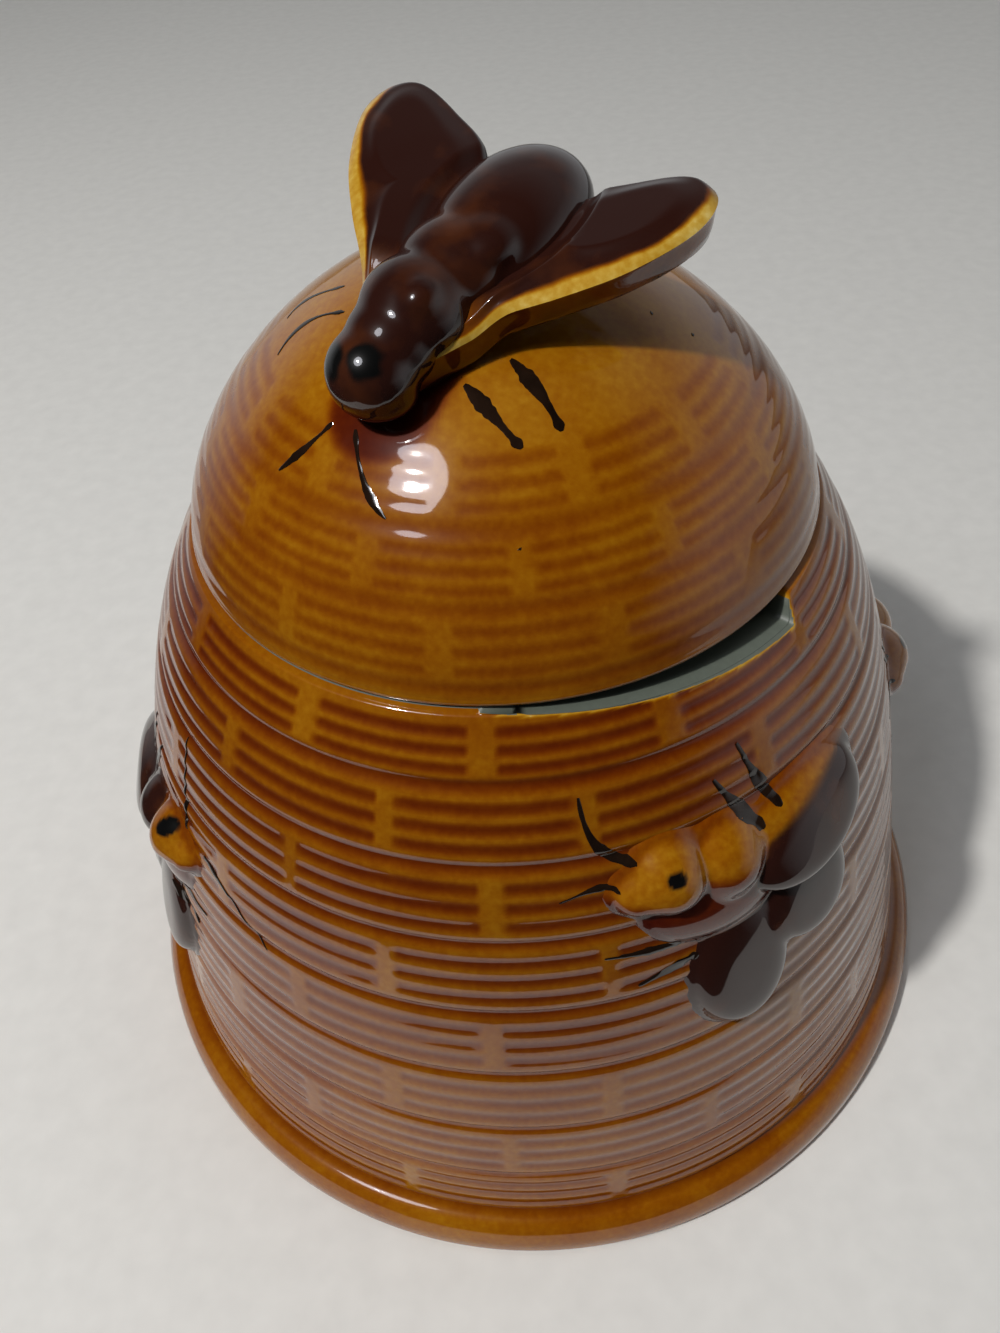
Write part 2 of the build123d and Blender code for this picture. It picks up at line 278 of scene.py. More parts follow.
# %% Floor
board_edge, board_left, board_slant, board_reach = 0.106, 0.132, 0.273, 1.5
floor_mesh = bpy.data.meshes.new("floor")
floor = bpy.data.objects.new("floor", floor_mesh)
bpy.context.collection.objects.link(floor)
sheet = bmesh.new()
corners = [(board_edge * board_slant - board_left, -board_edge), (board_reach, -board_edge),
           (board_reach, board_reach), (-board_reach * board_slant - board_left, board_reach)]
bmesh.ops.contextual_create(sheet, geom=[sheet.verts.new((x, y, 0)) for x, y in corners])
sheet.to_mesh(floor_mesh)
sheet.free()
floor_mesh.materials.append(plain_finish("floor_finish", (0.80, 0.80, 0.776), roughness=0.9,
                                         grain_scale=260.0, grain_depth=0.125, grain_detail=2.0, index=1.5))

# %% Light
lamp_aim = Vector((0, 0, 0.05))
dark_direction = (-0.45, -0.70, 0.55)
pale_sky, dark_sky, dimmed_overhead = 0.45, 0.018, 0.35
dusk_start, dusk_span = -0.15, 0.45
overhead_start, overhead_span = 0.25, 0.35
sky_tint = (0.95, 0.98, 1.0)


def lamp(name, azimuth, elevation, distance, size, watts, tint=(1, 1, 1)):
    """A round lamp aimed at the middle of the pot. Azimuth 0 is the front and -90 is the left."""
    a, e = math.radians(azimuth), math.radians(elevation)
    towards = Vector((math.sin(a) * math.cos(e), -math.cos(a) * math.cos(e), math.sin(e)))
    data = bpy.data.lights.new(name, "AREA")
    data.shape = "DISK"
    data.size = size
    data.energy = watts
    data.color = tint
    made = bpy.data.objects.new(name, data)
    made.rotation_euler = towards.to_track_quat("Z", "Y").to_euler()
    made.location = towards * distance + lamp_aim
    bpy.context.collection.objects.link(made)
    return made


lamp("key", azimuth=-52, elevation=55.5, distance=0.80, size=0.045, watts=4.1, tint=(1.0, 0.97, 0.93))
lamp("haze", azimuth=-49, elevation=55.5, distance=0.78, size=0.24, watts=0.9, tint=(0.92, 0.93, 1.0))
fill = lamp("fill", azimuth=120, elevation=80, distance=1.2, size=1.0, watts=1.8)
fill.visible_glossy = False
world = bpy.data.worlds.new("studio")
world.use_nodes = True
background = world.node_tree.nodes["Background"]
direction = world.node_tree.nodes.new("ShaderNodeTexCoord").outputs["Generated"]
gaze = Value(world.node_tree, direction)
sideways, backwards, upwards = gaze.node("ShaderNodeSeparateXYZ", Vector=gaze)
towards_dark = (sideways * dark_direction[0] + backwards * dark_direction[1]
                + upwards.math("ABSOLUTE") * dark_direction[2])
dusk = ((towards_dark - dusk_start) / dusk_span).clamp()
overhead = ((upwards - overhead_start) / overhead_span).clamp()
sky = dusk.mix(pale_sky, dark_sky) * overhead.mix(1.0, dimmed_overhead)
red, green, blue = [sky * share for share in sky_tint]
shade = gaze.node("ShaderNodeCombineColor", Red=red, Green=green, Blue=blue)[0]
world.node_tree.links.new(shade.socket, background.inputs["Color"])
bpy.context.scene.world = world

# %% [markdown]
# ## Ribs and ties
# The skep look comes from bands of straw-like coils, four to a band, and from short upright ties that cross
# each band. It could be carved with booleans, but every rib would then cost its own tool. Turning a fine
# profile with Spin and then pushing each vertex inwards by a formula is quicker and gives soft ribs.

# %% The rib formula
ribs_per_band = 4
ties_per_turn = 13
tie_step = 360 / ties_per_turn
rib_depth, band_depth = 0.14, 0.36
tie_half_width, tie_edge = 1.15, 0.5
tie_shift, tie_variation = 1.6, 0.35
band_half_width = 0.62
rib_film = 0.12


def smooth_step(low, high, x):
    t = min(max((x - low) / (high - low), 0), 1)
    return t * t * (3 - 2 * t)


@functools.lru_cache(maxsize=None)
def tie_place(number, row):
    """How far one tie is off its place, in degrees, and its half width. No two are alike in handwork."""
    seed = Vector((number % ties_per_turn * 3.7, row * 5.3, 0.5))
    other_seed = seed + Vector((9, 0, 0))
    return noise.noise(seed) * tie_shift, tie_half_width * (1 + tie_variation * noise.noise(other_seed))


def tie_cover(azimuth, radius, first_tie, row):
    """1 on an upright tie, 0 between ties."""
    number = round((azimuth - first_tie) / tie_step)
    shift, width = tie_place(number, row)
    off = abs(math.radians(azimuth - first_tie - number * tie_step - shift)) * radius
    return 1 - smooth_step(width - tie_edge / 2, width + tie_edge / 2, off)


def rib_cut(z, azimuth, radius, bands, first_ties):
    """Depth of the grooves at a place, in mm, and how full of glaze they are, 0 to 1."""
    row = max(0, min(len(bands) - 2, sum(z >= b for b in bands) - 1))
    low, high = bands[row], bands[row + 1]
    place = (z - low) / (high - low) * ribs_per_band
    line = min(max(round(place), 1), ribs_per_band - 1)
    off = abs(place - line)
    fine = math.cos(math.pi * off) ** 2 if off < 0.5 else 0.0
    if fine:
        fine *= 1 - tie_cover(azimuth, radius, first_ties[row % len(first_ties)], row)
    edge = min(abs(z - b) for b in bands[:-1])
    coarse = math.exp(-(edge / band_half_width) ** 2)
    full = max(fine, coarse)
    return max(rib_depth * fine, band_depth * coarse), full + rib_film * (1 - full)


def azimuth_of(point):
    return math.degrees(math.atan2(point.x, -point.y))


pot_first_tie = -6.0
pot_ties = [pot_first_tie + tie_step / 2, pot_first_tie]
lid_ties = [-12.0, 2.0]
print("ties per band:", ties_per_turn)

# %% [markdown]
# ## The pot's wall
# One profile runs from the middle of the underside, round the foot, up the ribbed wall, over the rim and
# down the inside. Spinning it about Z gives a closed wall of even thickness. The rim then gets its dip.

# %% Profile of the pot
rows_per_rib, round_steps, inside_steps = 7, 4, 16
# How far in from the foot's edge the points of its upper round lie, and at what share of its height.
foot_round, wall_join = [(0.25, 0.55), (1.2, 0.85)], (0.9, 0.97)
# How far across and down the points of the rim's rounded corner lie from its sharp corner.
rim_corner = [(0.1, 0.25), (0.5, 0.0)]
mouth_round, well_round, well_corner = 0.8, 4, (1.5, 1.2)
flat_rings = (20, 40)


def pot_profile():
    """Points (radius, height) in mm, from the axis underneath to the axis inside."""
    points = [(0, 0)] + [(ring, 0) for ring in flat_rings] + [(base_radius - foot_edge, 0)]
    for k in range(1, round_steps + 1):
        turn = math.pi / 2 * k / round_steps
        points.append((base_radius - foot_edge * (1 - math.sin(turn)), foot_edge * (1 - math.cos(turn))))
    points += [(base_radius - across, foot_height * share) for across, share in foot_round]
    points += [(wall_foot_radius + wall_join[0], foot_height * wall_join[1])]
    for low, high in zip(pot_bands, pot_bands[1:]):
        rows = ribs_per_band * rows_per_rib
        points += [(wall_radius(low + (high - low) * k / rows), low + (high - low) * k / rows)
                   for k in range(rows)]
    rim_inside = rim_radius - wall_thickness
    points += [(rim_radius - across, rim_height - down) for across, down in rim_corner]
    points += [(rim_radius - wall_thickness / 2, rim_height)]
    points += [(rim_inside + across, rim_height - down) for across, down in reversed(rim_corner)]
    for k in range(inside_steps + 1):
        drop = (rim_height - mouth_round - floor_thickness - well_round) * k / inside_steps
        z = rim_height - mouth_round - drop
        points.append((wall_radius(z) - wall_thickness, z))
    inside = wall_radius(floor_thickness) - wall_thickness
    points += [(inside - well_corner[0], floor_thickness + well_corner[1]),
               (inside - well_round, floor_thickness), (flat_rings[0], floor_thickness),
               (0, floor_thickness)]
    return points


def spun(profile, steps):
    """Turn a profile of (radius, height) points about Z. Returns the bmesh, in metres."""
    work = bmesh.new()
    points = [work.verts.new((0, -radius * MM, z * MM)) for radius, z in profile]
    edges = [work.edges.new(pair) for pair in zip(points, points[1:])]
    bmesh.ops.spin(work, geom=points + edges, cent=(0, 0, 0), axis=(0, 0, 1), dvec=(0, 0, 0),
                   angle=math.tau, steps=steps, use_merge=True, use_duplicate=False)
    bmesh.ops.remove_doubles(work, verts=work.verts, dist=1e-6)
    bmesh.ops.recalc_face_normals(work, faces=work.faces)
    return work


def finish(work, name, body, materials, replaces=()):
    """Make a smooth-shaded object of a bmesh and let it ride on a body."""
    mesh = bpy.data.meshes.new(name)
    work.to_mesh(mesh)
    work.free()
    mesh.polygons.foreach_set("use_smooth", [True] * len(mesh.polygons))
    for material in materials:
        mesh.materials.append(material)
    made = bpy.data.objects.new(name, mesh)
    bpy.context.collection.objects.link(made)
    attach(made, body)
    if replaces:
        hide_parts(*replaces)
    triangles = sum(len(p.vertices) - 2 for p in mesh.polygons)
    print(f"{name}: {len(mesh.vertices)} vertices, {triangles} triangles")


# %% The dip in the rim
dip_start, dip_end, dip_depth = -6.0, 50.0, 2.7
ramp_start, ramp_end = dip_end - 1.4, dip_end + 1.2
dip_lean = 0.25
dip_middle = (dip_start + dip_end) / 2
dip_half_span = rim_radius * math.sin(math.radians((dip_end - dip_start) / 2))


def rim_level(azimuth, radius):
    """Height of the rim's top. It slopes down from the left, and a short ramp leads back up on the right."""
    if not dip_start < azimuth < ramp_end:
        return rim_height
    along = radius * math.sin(math.radians(azimuth - dip_middle))
    depth = dip_depth * max(along + dip_half_span, 0) / (2 * dip_half_span)
    return rim_height - depth * (1 - smooth_step(ramp_start, ramp_end, azimuth))


# %% Turn and carve the pot
columns = 364
warp_strength = 0.6
low_wall_pool, full_pool_heights = 0.55, (28, 55)
rim_pool, foot_pool = -0.5, 0.15
# How deep the wall's outer skin is: for the ribs as a share of the wall, for the dip and the rim in mm.
rib_skin, dip_skin, rim_skin, rim_band = 0.3, 0.6, 0.3, 0.12
# The clay, dark with painted shade, shows this near to the rim's top, this far in from its outer edge, and
# this low underneath.
clay_depth, clay_inset, clay_height = 0.03, 0.12, 0.02


def tie_warp(azimuth, first_tie):
    """Draw the columns of vertices together near the ties, where the detail is."""
    doubled = math.radians((azimuth - first_tie) * 2 * ties_per_turn)
    return azimuth - math.degrees(warp_strength / (2 * ties_per_turn) * math.sin(doubled))


def turned_to(point, azimuth):
    """The same point turned about Z to an azimuth."""
    a = math.radians(azimuth)
    radius = math.hypot(point.x, point.y)
    return Vector((radius * math.sin(a), -radius * math.cos(a), point.z))


pot = spun(pot_profile(), columns)
pool = pot.verts.layers.float.new("pool")
for vert in pot.verts:
    azimuth = tie_warp(azimuth_of(vert.co), pot_first_tie)
    radius, z = math.hypot(vert.co.x, vert.co.y) / MM, vert.co.z / MM
    outer = wall_radius(z)
    if z >= foot_height - hair and radius > outer - wall_thickness * rib_skin:
        depth, full = rib_cut(z, azimuth, outer, pot_bands, pot_ties)
        radius -= depth
        vert[pool] = full * (low_wall_pool + (1 - low_wall_pool) * smooth_step(*full_pool_heights, z))
    top = rim_level(azimuth, radius)
    if z > top + hair:
        if radius > rim_radius - dip_skin:
            radius = wall_radius(top) - (z - top) * dip_lean
        z = top
    if z > top - rim_band and radius > wall_radius(top) - rim_skin:
        vert[pool] = rim_pool
    if z < foot_height - hair:
        vert[pool] = foot_pool
    vert.co = turned_to(Vector((0, -radius, z)) * MM, azimuth)
for face in pot.faces:
    middle = face.calc_center_median() / MM
    radius, azimuth = math.hypot(middle.x, middle.y), azimuth_of(middle)
    level = rim_level(azimuth, radius)
    on_top = middle.z > level - clay_depth and radius < wall_radius(level) - clay_inset
    face.material_index = 1 if on_top or middle.z < clay_height else 0
finish(pot, "pot_wall", "pot", [honey_glaze, bare_clay], ["pot_body"])

# %% [markdown]
# ## The lid
# The lid is turned in the same way. Its ribs lie on a dome, so each vertex is pushed along the dome's own
# normal and not straight inwards. Under the dome a flange drops into the mouth and keeps the lid in place.
# Glaze runs together where the bee on top meets the lid, so the bee's own frame, which says where it lies,
# is set first.

# %% The bee's own frame
# Its first axis runs to the tail, its second to the bee's right (the camera's left) and its third up.
bee_origin = Vector((-5.8, -11.9, 104.3))
bee_heading, bee_pitch, bee_roll = [math.radians(a) for a in (50, 14, 6)]
to_tail = Vector((math.cos(bee_heading) * math.cos(bee_pitch), math.sin(bee_heading) * math.cos(bee_pitch),
                  math.sin(bee_pitch)))
level_side = Vector((-math.sin(bee_heading), math.cos(bee_heading), 0))
bee_up = to_tail.cross(level_side) * math.cos(bee_roll) - level_side * math.sin(bee_roll)
bee_axes = Matrix((to_tail, bee_up.cross(to_tail), bee_up)).transposed()
bee_frame = Matrix.Translation(bee_origin * MM) @ bee_axes.to_4x4() @ Matrix.Scale(MM, 4)
to_bee = bee_frame.inverted()

# %% Turn and carve the lid
crown_rows, lip_rows, dome_steps = 22, 8, 14
lid_rib_share, lid_skin, seat_height = 0.2, 0.5, 0.05
lid_pool_share, lid_pool_offset = 0.40, -0.05
# Glaze gathers this far from the bee's middle line, which runs between two places along its first axis.
line_ends, gather_distance, gather_edge, gather_pool = (-7.0, 12.0), 4.2, (-0.2, 1.5), 1.4


def dome_normal(z, step=0.05):
    """Outward normal (radial, up) of the dome at height z."""
    high, low = min(z + step, dome_top), z - step
    slope = (dome_radius(high) - dome_radius(low)) / (high - low)
    return Vector((1, -slope)).normalized()


def lid_profile():
    """Points (radius, height) in mm, from the crown over the dome and back inside to the axis."""
    points = []
    crown_edge = dome_radius(lid_bands[-1])
    for k in range(crown_rows):
        radius = crown_edge * k / crown_rows
        points.append((radius, rim_height + (dome_top - rim_height) * superellipse(radius / lid_radius)))
    for high, low in zip(reversed(lid_bands), reversed(lid_bands[:-1])):
        rows = ribs_per_band * rows_per_rib
        for k in range(rows):
            z = high - (high - low) * k / rows
            points.append((dome_radius(z), z))
    for k in range(lip_rows):
        z = lid_bands[0] - (lid_lip - lid_edge) * k / lip_rows
        points.append((dome_radius(z), z))
    for k in range(round_steps + 1):
        turn = math.pi / 2 * k / round_steps
        points.append((lid_radius - lid_edge + lid_edge * math.cos(turn),
                       rim_height + lid_edge - lid_edge * math.sin(turn)))
    inside = flange_radius - flange_wall
    inner_height = dome_top - rim_height - lid_wall
    foot, bevel = rim_height - flange_depth, 0.5
    points += [(flange_radius, rim_height), (flange_radius, foot + bevel), (flange_radius - bevel, foot),
               (inside + bevel, foot), (inside, foot + bevel)]
    for k in range(dome_steps + 1):
        turn = math.pi / 2 * k / dome_steps
        radius = inside * math.cos(turn)
        points.append((max(radius, 0), rim_height + inner_height * superellipse(radius / inside)))
    return points


lid = spun(lid_profile(), columns)
pool = lid.verts.layers.float.new("pool")
for vert in lid.verts:
    azimuth = tie_warp(azimuth_of(vert.co), lid_ties[0])
    radius, z = math.hypot(vert.co.x, vert.co.y) / MM, vert.co.z / MM
    if z >= lid_bands[0] - 2 and radius > dome_radius(z) - lid_skin:
        depth, full = rib_cut(z, azimuth, radius, lid_bands, lid_ties)
        push = dome_normal(z) * depth * lid_rib_share
        radius, z = radius - push.x, z - push.y
        local = to_bee @ turned_to(Vector((0, -radius, z)) * MM, azimuth)
        nearest = min(max(local.x, line_ends[0]), line_ends[1])
        off_bee = math.hypot(local.x - nearest, local.y) - gather_distance
        vert[pool] = max(full * lid_pool_share + lid_pool_offset,
                         gather_pool * (1 - smooth_step(*gather_edge, off_bee)))
    vert.co = turned_to(Vector((0, -radius, z)) * MM, azimuth)
# The lid's seat also gets the clay that is darkened with painted shade.
for face in lid.faces:
    middle = face.calc_center_median() / MM
    radius = math.hypot(middle.x, middle.y)
    on_seat = middle.z < rim_height + seat_height and radius > flange_radius - flange_wall - lid_skin
    face.material_index = 1 if on_seat else 0
finish(lid, "lid_dome", "lid", [honey_glaze, bare_clay], ["lid_shell"])

# %% [markdown]
# ## The relief bees
# A relief is a height field: at each place on the wall there is one height. So a bee is described as a stack
# of mounds in flat coordinates, along the wall from its head and up the wall, and a fine grid is lifted by
# them and wrapped round the pot. Mounds that meet are blended, because soft clay has no sharp inner edge.

# %% Mounds of a bee
# Each mound: along, up, half length, half width, height, turn in degrees, and whether it is a wing.
bee_mounds = [
    (1.4, -0.7, 3.9, 3.7, 3.2, -6, False),
    (-1.7, -1.6, 2.6, 2.3, 2.0, 0, False),
    (7.8, -1.6, 4.0, 4.0, 2.9, 0, False),
    (16.6, -0.8, 8.0, 3.0, 1.9, 8, False),
    (6.2, -5.8, 7.0, 4.4, 1.5, -6, False),
    (17.6, -3.2, 8.9, 4.8, 2.8, 12, True),
    (16.8, -12.3, 5.8, 5.8, 1.7, -14, True),
    (8.2, -16.6, 5.3, 8.0, 1.7, -3, True)]
# Each bee's head: azimuth, height, the way it faces, and how much its tail is raised, in degrees.
bee_heads = {"bee_front": (15.5, 60.0, 1, 0), "bee_left": (-60.0, 47.4, -1, -10),
             "bee_right": (84.0, 48.0, 1, 0)}
# Each bee's eye: along and up from its head, and its half length.
bee_eyes = {"bee_front": (1.3, 1.0, 0.95), "bee_left": (-0.1, 1.8, 1.3), "bee_right": (1.3, 1.0, 0.95)}
eye_squash, eye_edge, wing_lean = 0.66, (0.86, 1.14), 0.06
# A mound's section is a superellipse: its power, and the root that shapes its shoulder.
body_section, wing_section, outside_slope = (2.2, 0.75), (5, 0.7), 1.1
blend, wing_blend, fillet, far_below = 1.5, 0.5, 1.3, -9.0
base_level, wing_border = -0.05, (-0.35, 0.25)


def mound_height(mound, along, up):
    """Height of one mound, in mm. It falls below zero outside its outline."""
    x, y, half_length, half_width, height, turn, is_wing = mound
    a = math.radians(turn)
    dx, dy = along - x, up - y
    share = math.hypot((dx * math.cos(a) + dy * math.sin(a)) / half_length,
                       (dy * math.cos(a) - dx * math.sin(a)) / half_width)
    if share >= 1:
        return (1 - share) * min(half_length, half_width) * outside_slope
    power, root = wing_section if is_wing else body_section
    lean = 1 - wing_lean * dy if is_wing else 1
    return height * lean * (1 - share ** power) ** root


def soft_max(one, other, width):
    """The larger of two heights, rounded where they are within a width of each other."""
    gap = abs(one - other)
    return max(one, other) + max(width - gap, 0) ** 2 / (4 * width)


def bee_relief(along, up):
    """Blended height of a bee at a place, and how much of it is wing, 0 to 1."""
    body, wing = far_below, far_below
    for mound in bee_mounds:
        height = mound_height(mound, along, up)
        if mound[6]:
            wing = soft_max(wing, height, blend)
        else:
            body = soft_max(body, height, blend)
    raw = soft_max(body, wing, wing_blend)
    edge = min(raw + fillet / 2, 0.0)
    return soft_max(raw, base_level, fillet) + edge, smooth_step(*wing_border, wing - body)


def on_wall(head, along, up, height):
    """A place near a bee, on the wall of the pot and a height out from it, in metres."""
    azimuth, z, facing, tilt = head
    along, up = Matrix.Rotation(math.radians(tilt), 2) @ Vector((along, up))
    turn = azimuth + facing * math.degrees(along / wall_radius(z))
    return turned_to(Vector((0, -(wall_radius(z + up) + height), z + up)) * MM, turn)


# %% Wrap the bees round the pot
# The grid is this wide and tall, and this is where its middle lies from the head, along and up.
patch_size, patch_along, patch_up = 34.0, 10.0, -11.0
patch_spacing, sunk, root_depth = 0.27, -1.3, 2.4
# The left bee's back is brown from here on, along its body.
back_edge = (4.3, 5.0)
# Glaze gathers where a relief meets the wall. The bee's body is also made darker towards its lower side, by
# extra thickness.
low_pool, low_edge, lower_side_darkening, lower_side_edge = 0.5, (0.0, 1.0), 1.3, (0.9, 2.8)
for name, head in bee_heads.items():
    eye_along, eye_up, eye_size = bee_eyes[name]
    bee = bmesh.new()
    segments = round(patch_size / patch_spacing)
    bmesh.ops.create_grid(bee, x_segments=segments, y_segments=segments, size=0.5)
    pool, dark, ink = [bee.verts.layers.float.new(layer) for layer in ("pool", "dark", "ink")]
    outside = []
    for vert in bee.verts:
        along, up = vert.co.x * patch_size + patch_along, vert.co.y * patch_size + patch_up
        height, wing = bee_relief(along, up)
        if height < sunk:
            outside.append(vert)
            continue
        vert.co = on_wall(head, along, up, height)
        vert[dark] = max(wing, smooth_step(*back_edge, along)) if name == "bee_left" else wing
        low = 1 - smooth_step(*low_edge, height)
        vert[pool] = low_pool * low + lower_side_darkening * smooth_step(*lower_side_edge, -up) * (1 - wing)
        off_eye = math.hypot(along - eye_along, (up - eye_up) / eye_squash) / eye_size
        vert[ink] = 1 - smooth_step(*eye_edge, off_eye)
    bmesh.ops.delete(bee, geom=outside, context="VERTS")
    bmesh.ops.recalc_face_normals(bee, faces=bee.faces)
    back = bmesh.ops.extrude_face_region(bee, geom=list(bee.faces), use_keep_orig=True)["geom"]
    for vert in back:
        if isinstance(vert, bmesh.types.BMVert):
            z = vert.co.z / MM
            vert.co = turned_to(Vector((0, root_depth - wall_radius(z), z)) * MM, azimuth_of(vert.co))
    bmesh.ops.recalc_face_normals(bee, faces=bee.faces)
    finish(bee, name + "_relief", "pot", [bee_glaze], [name])

# %% [markdown]
# ## The finial bee
# The bee on the lid is modelled in the round. Overlapping balls give its masses, a voxel Remesh melts them
# into one skin, and smoothing rounds the creases as a thick glaze does. Its wings are squashed spheres whose
# outline is a closed curve: seen from above the equator of the sphere becomes the outline of the petal.

# %% Body of the finial
# Each ball: its middle along the bee's axes (to the tail, to the bee's right, up), and its half sizes.
finial_balls = [
    ((-6.7, 0.1, -2.4), (4.1, 4.1, 3.8)),
    ((-7.1, 0.1, -3.8), (3.4, 4.2, 2.1)),
    ((-3.9, 0.0, -1.6), (4.0, 4.2, 3.8)),
    ((-0.6, -0.2, -0.7), (5.0, 4.9, 4.2)),
    ((4.6, -0.5, -0.7), (5.6, 5.2, 4.1)),
    ((11.2, -1.3, -1.3), (9.4, 6.5, 5.1)),
    ((3.0, -0.2, -3.4), (9.5, 3.9, 2.7)),
    ((6.6, -2.6, 1.5), (3.5, 3.1, 2.0)),
    ((-1.5, -2.0, 1.8), (2.2, 1.9, 1.8))]
head_middle = Vector(finial_balls[0][0])
abdomen_middle, abdomen_half = finial_balls[5]
eye_directions = [Vector((-0.40, -0.33, 0.85)), Vector((-0.62, 0.50, 0.60))]
head_edge, ink_edge, ink_raggedness = (3.9, 4.6), (0.32, 0.5), 0.12


def melted(name, work, voxel, smoothing):
    """Join overlapping forms into one skin. Returns a new bmesh."""
    mesh = bpy.data.meshes.new(name + "_rough")
    work.to_mesh(mesh)
    work.free()
    rough = bpy.data.objects.new(name + "_rough", mesh)
    bpy.context.collection.objects.link(rough)
    remesh = rough.modifiers.new("melt", "REMESH")
    remesh.mode = "VOXEL"
    remesh.voxel_size = voxel * MM
    soften = rough.modifiers.new("soften", "SMOOTH")
    soften.factor = 0.5
    soften.iterations = smoothing
    bpy.context.view_layer.update()
    evaluated = rough.evaluated_get(bpy.context.evaluated_depsgraph_get())
    skin = bmesh.new()
    skin.from_mesh(evaluated.to_mesh())
    bpy.data.objects.remove(rough)
    bpy.data.meshes.remove(mesh)
    return skin


rough = bmesh.new()
for middle, half in finial_balls:
    place = bee_frame @ Matrix.Translation(middle) @ Matrix.Diagonal((*half, 1))
    bmesh.ops.create_icosphere(rough, subdivisions=4, radius=1, matrix=place)
body = melted("finial_form", rough, voxel=0.28, smoothing=24)
dark, ink = [body.verts.layers.float.new(layer) for layer in ("dark", "ink")]
for vert in body.verts:
    local = to_bee @ vert.co
    from_head = local - head_middle
    near_eye = min((from_head.normalized() - eye.normalized()).length for eye in eye_directions)
    on_head = 1 - smooth_step(*head_edge, from_head.length)
    vert[dark] = 1.0
    ragged = near_eye + ink_raggedness * noise.noise(local * 0.9)
    vert[ink] = on_head * (1 - smooth_step(*ink_edge, ragged))
finish(body, "finial_form", "lid", [finial_glaze], ["finial_body"])

# %% Petal wings
# Two outlines, each a list of places towards the tail and outwards from the bee's middle line. They share
# the leading edge, and differ at the tip and along the trailing edge.
leading_edge = [(-6.0, 2.4), (-3.5, 4.2), (1.0, 7.0), (5.0, 11.0), (9.5, 14.8), (15.0, 17.5), (19.0, 17.2)]
narrow_outline = leading_edge + [(20.3, 14.2), (18.0, 9.6), (14.6, 4.8), (9.0, 1.5), (0.0, 0.8)]
wide_outline = leading_edge + [(20.5, 14.4), (19.2, 9.6), (16.6, 4.6), (9.6, 1.5), (0.0, 0.8)]
petal_middle = Vector((9.5, 8.5))
petal_dihedral, petal_crown, petal_edge = math.radians(6), 0.5, 0.7
petal_rim, petal_side, petal_belly = 1.5, 2.3, 0.8
# The top lies low at the root, rises to the leaf, steps up beside the abdomen, and rises to the tip.
petal_root, leaf_rise, clear_rise, tip_rise = -2.4, 1.2, 0.7, 1.2
leaf_edge, leaf_slant, clear_edge, rise_start, rise_length = (0.5, 4.5), 0.25, (0.0, 1.3), -5, 25
wobble_size, wobble_scale = 0.25, 0.45
lead_direction, lead_edge = (-0.6, 0.8), (-0.15, 0.25)
crown_width, belly_width = 3.0, 4.0
root_dark, rim_line_pool, rim_thinning, under_pool = 0.35, 0.9, 0.60, 0.6
thin_side, root_share = 0.20, 0.3


def closed_curve(points, share):
    """A place on the smooth closed curve through the points, as share goes from 0 to 1."""
    place = share % 1 * len(points)
    k, t = int(place), place % 1
    a, b, c, d = [Vector(points[(k + step) % len(points)]) for step in (-1, 0, 1, 2)]
    return 0.5 * (2 * b + (c - a) * t + (2 * a - 5 * b + 4 * c - d) * t ** 2
                  + (3 * b - a - 3 * c + d) * t ** 3)


def petal_wing(name, node, side, petal_outline):
    """One wing. side is 1 on the bee's right and -1 on its left."""
    wing = bmesh.new()
    bmesh.ops.create_uvsphere(wing, u_segments=168, v_segments=64, radius=1)
    pool, dark = [wing.verts.layers.float.new(layer) for layer in ("pool", "dark")]
    for vert in wing.verts:
        across = math.hypot(vert.co.x, vert.co.y)
        share = math.atan2(vert.co.y, vert.co.x) / math.tau
        outline = closed_curve(petal_outline, share)
        outwards = (outline - petal_middle).normalized()
        lead = smooth_step(*lead_edge, outwards.x * lead_direction[0] + outwards.y * lead_direction[1])
        flat = petal_middle.lerp(outline, min(across, 1))
        inset = (1 - min(across, 1)) * (outline - petal_middle).length
        wobble = wobble_size * noise.noise(Vector((flat.x * wobble_scale, flat.y * wobble_scale, side * 3)))
        leaf = smooth_step(*leaf_edge, flat.x + flat.y * leaf_slant)
        gap = (math.hypot((flat.x - abdomen_middle[0]) / abdomen_half[0],
                          (side * flat.y - abdomen_middle[1]) / abdomen_half[1]) - 1) * abdomen_half[1]
        along = min(max((flat.x - rise_start) / rise_length, 0), 1)
        top = petal_root + leaf_rise * leaf + clear_rise * smooth_step(*clear_edge, gap) + tip_rise * along
        rim = petal_rim * lead + 0.05
        if vert.co.z >= 0:
            height = top + petal_crown * smooth_step(rim, rim + crown_width, inset)
            height -= petal_edge * (1 - min(inset / (rim + 0.5), 1)) ** 2
            inner = smooth_step(rim - 0.3, rim + 0.2, inset + wobble)
            vert[dark] = max(inner, 1 - lead) * (root_dark + (1 - root_dark) * leaf)
            vert[pool] = rim_line_pool * smooth_step(rim - 0.6, rim, inset + wobble) - rim_thinning * lead
        else:
            side_depth = petal_side * (thin_side + (1 - thin_side) * lead)
            deeper = 1 - (1 - min(inset / belly_width, 1)) ** 2
            height = top - petal_edge - side_depth * smooth_step(0.0, 0.35, inset)
            height -= petal_belly * deeper * (1 - leaf * root_share)
            vert[dark] = max(smooth_step(0.1, 0.5, inset + wobble), 1 - lead)
            vert[pool] = under_pool
        height += flat.y * math.sin(petal_dihedral)
        vert.co = bee_frame @ Vector((flat.x, side * flat.y * math.cos(petal_dihedral), height))
    bmesh.ops.recalc_face_normals(wing, faces=wing.faces)
    finish(wing, name, "lid", [finial_glaze], [node])


petal_wing("petal_near_right", "finial_wing_right", 1, wide_outline)
petal_wing("petal_near_left", "finial_wing_left", -1, narrow_outline)

# %% [markdown]
# ## Brushwork
# Antennae and legs are brush strokes of black under the glaze. Each is a thin ribbon that lies on the carved
# wall: a small grid whose long way follows a curve through the stroke's points, and whose width tapers.

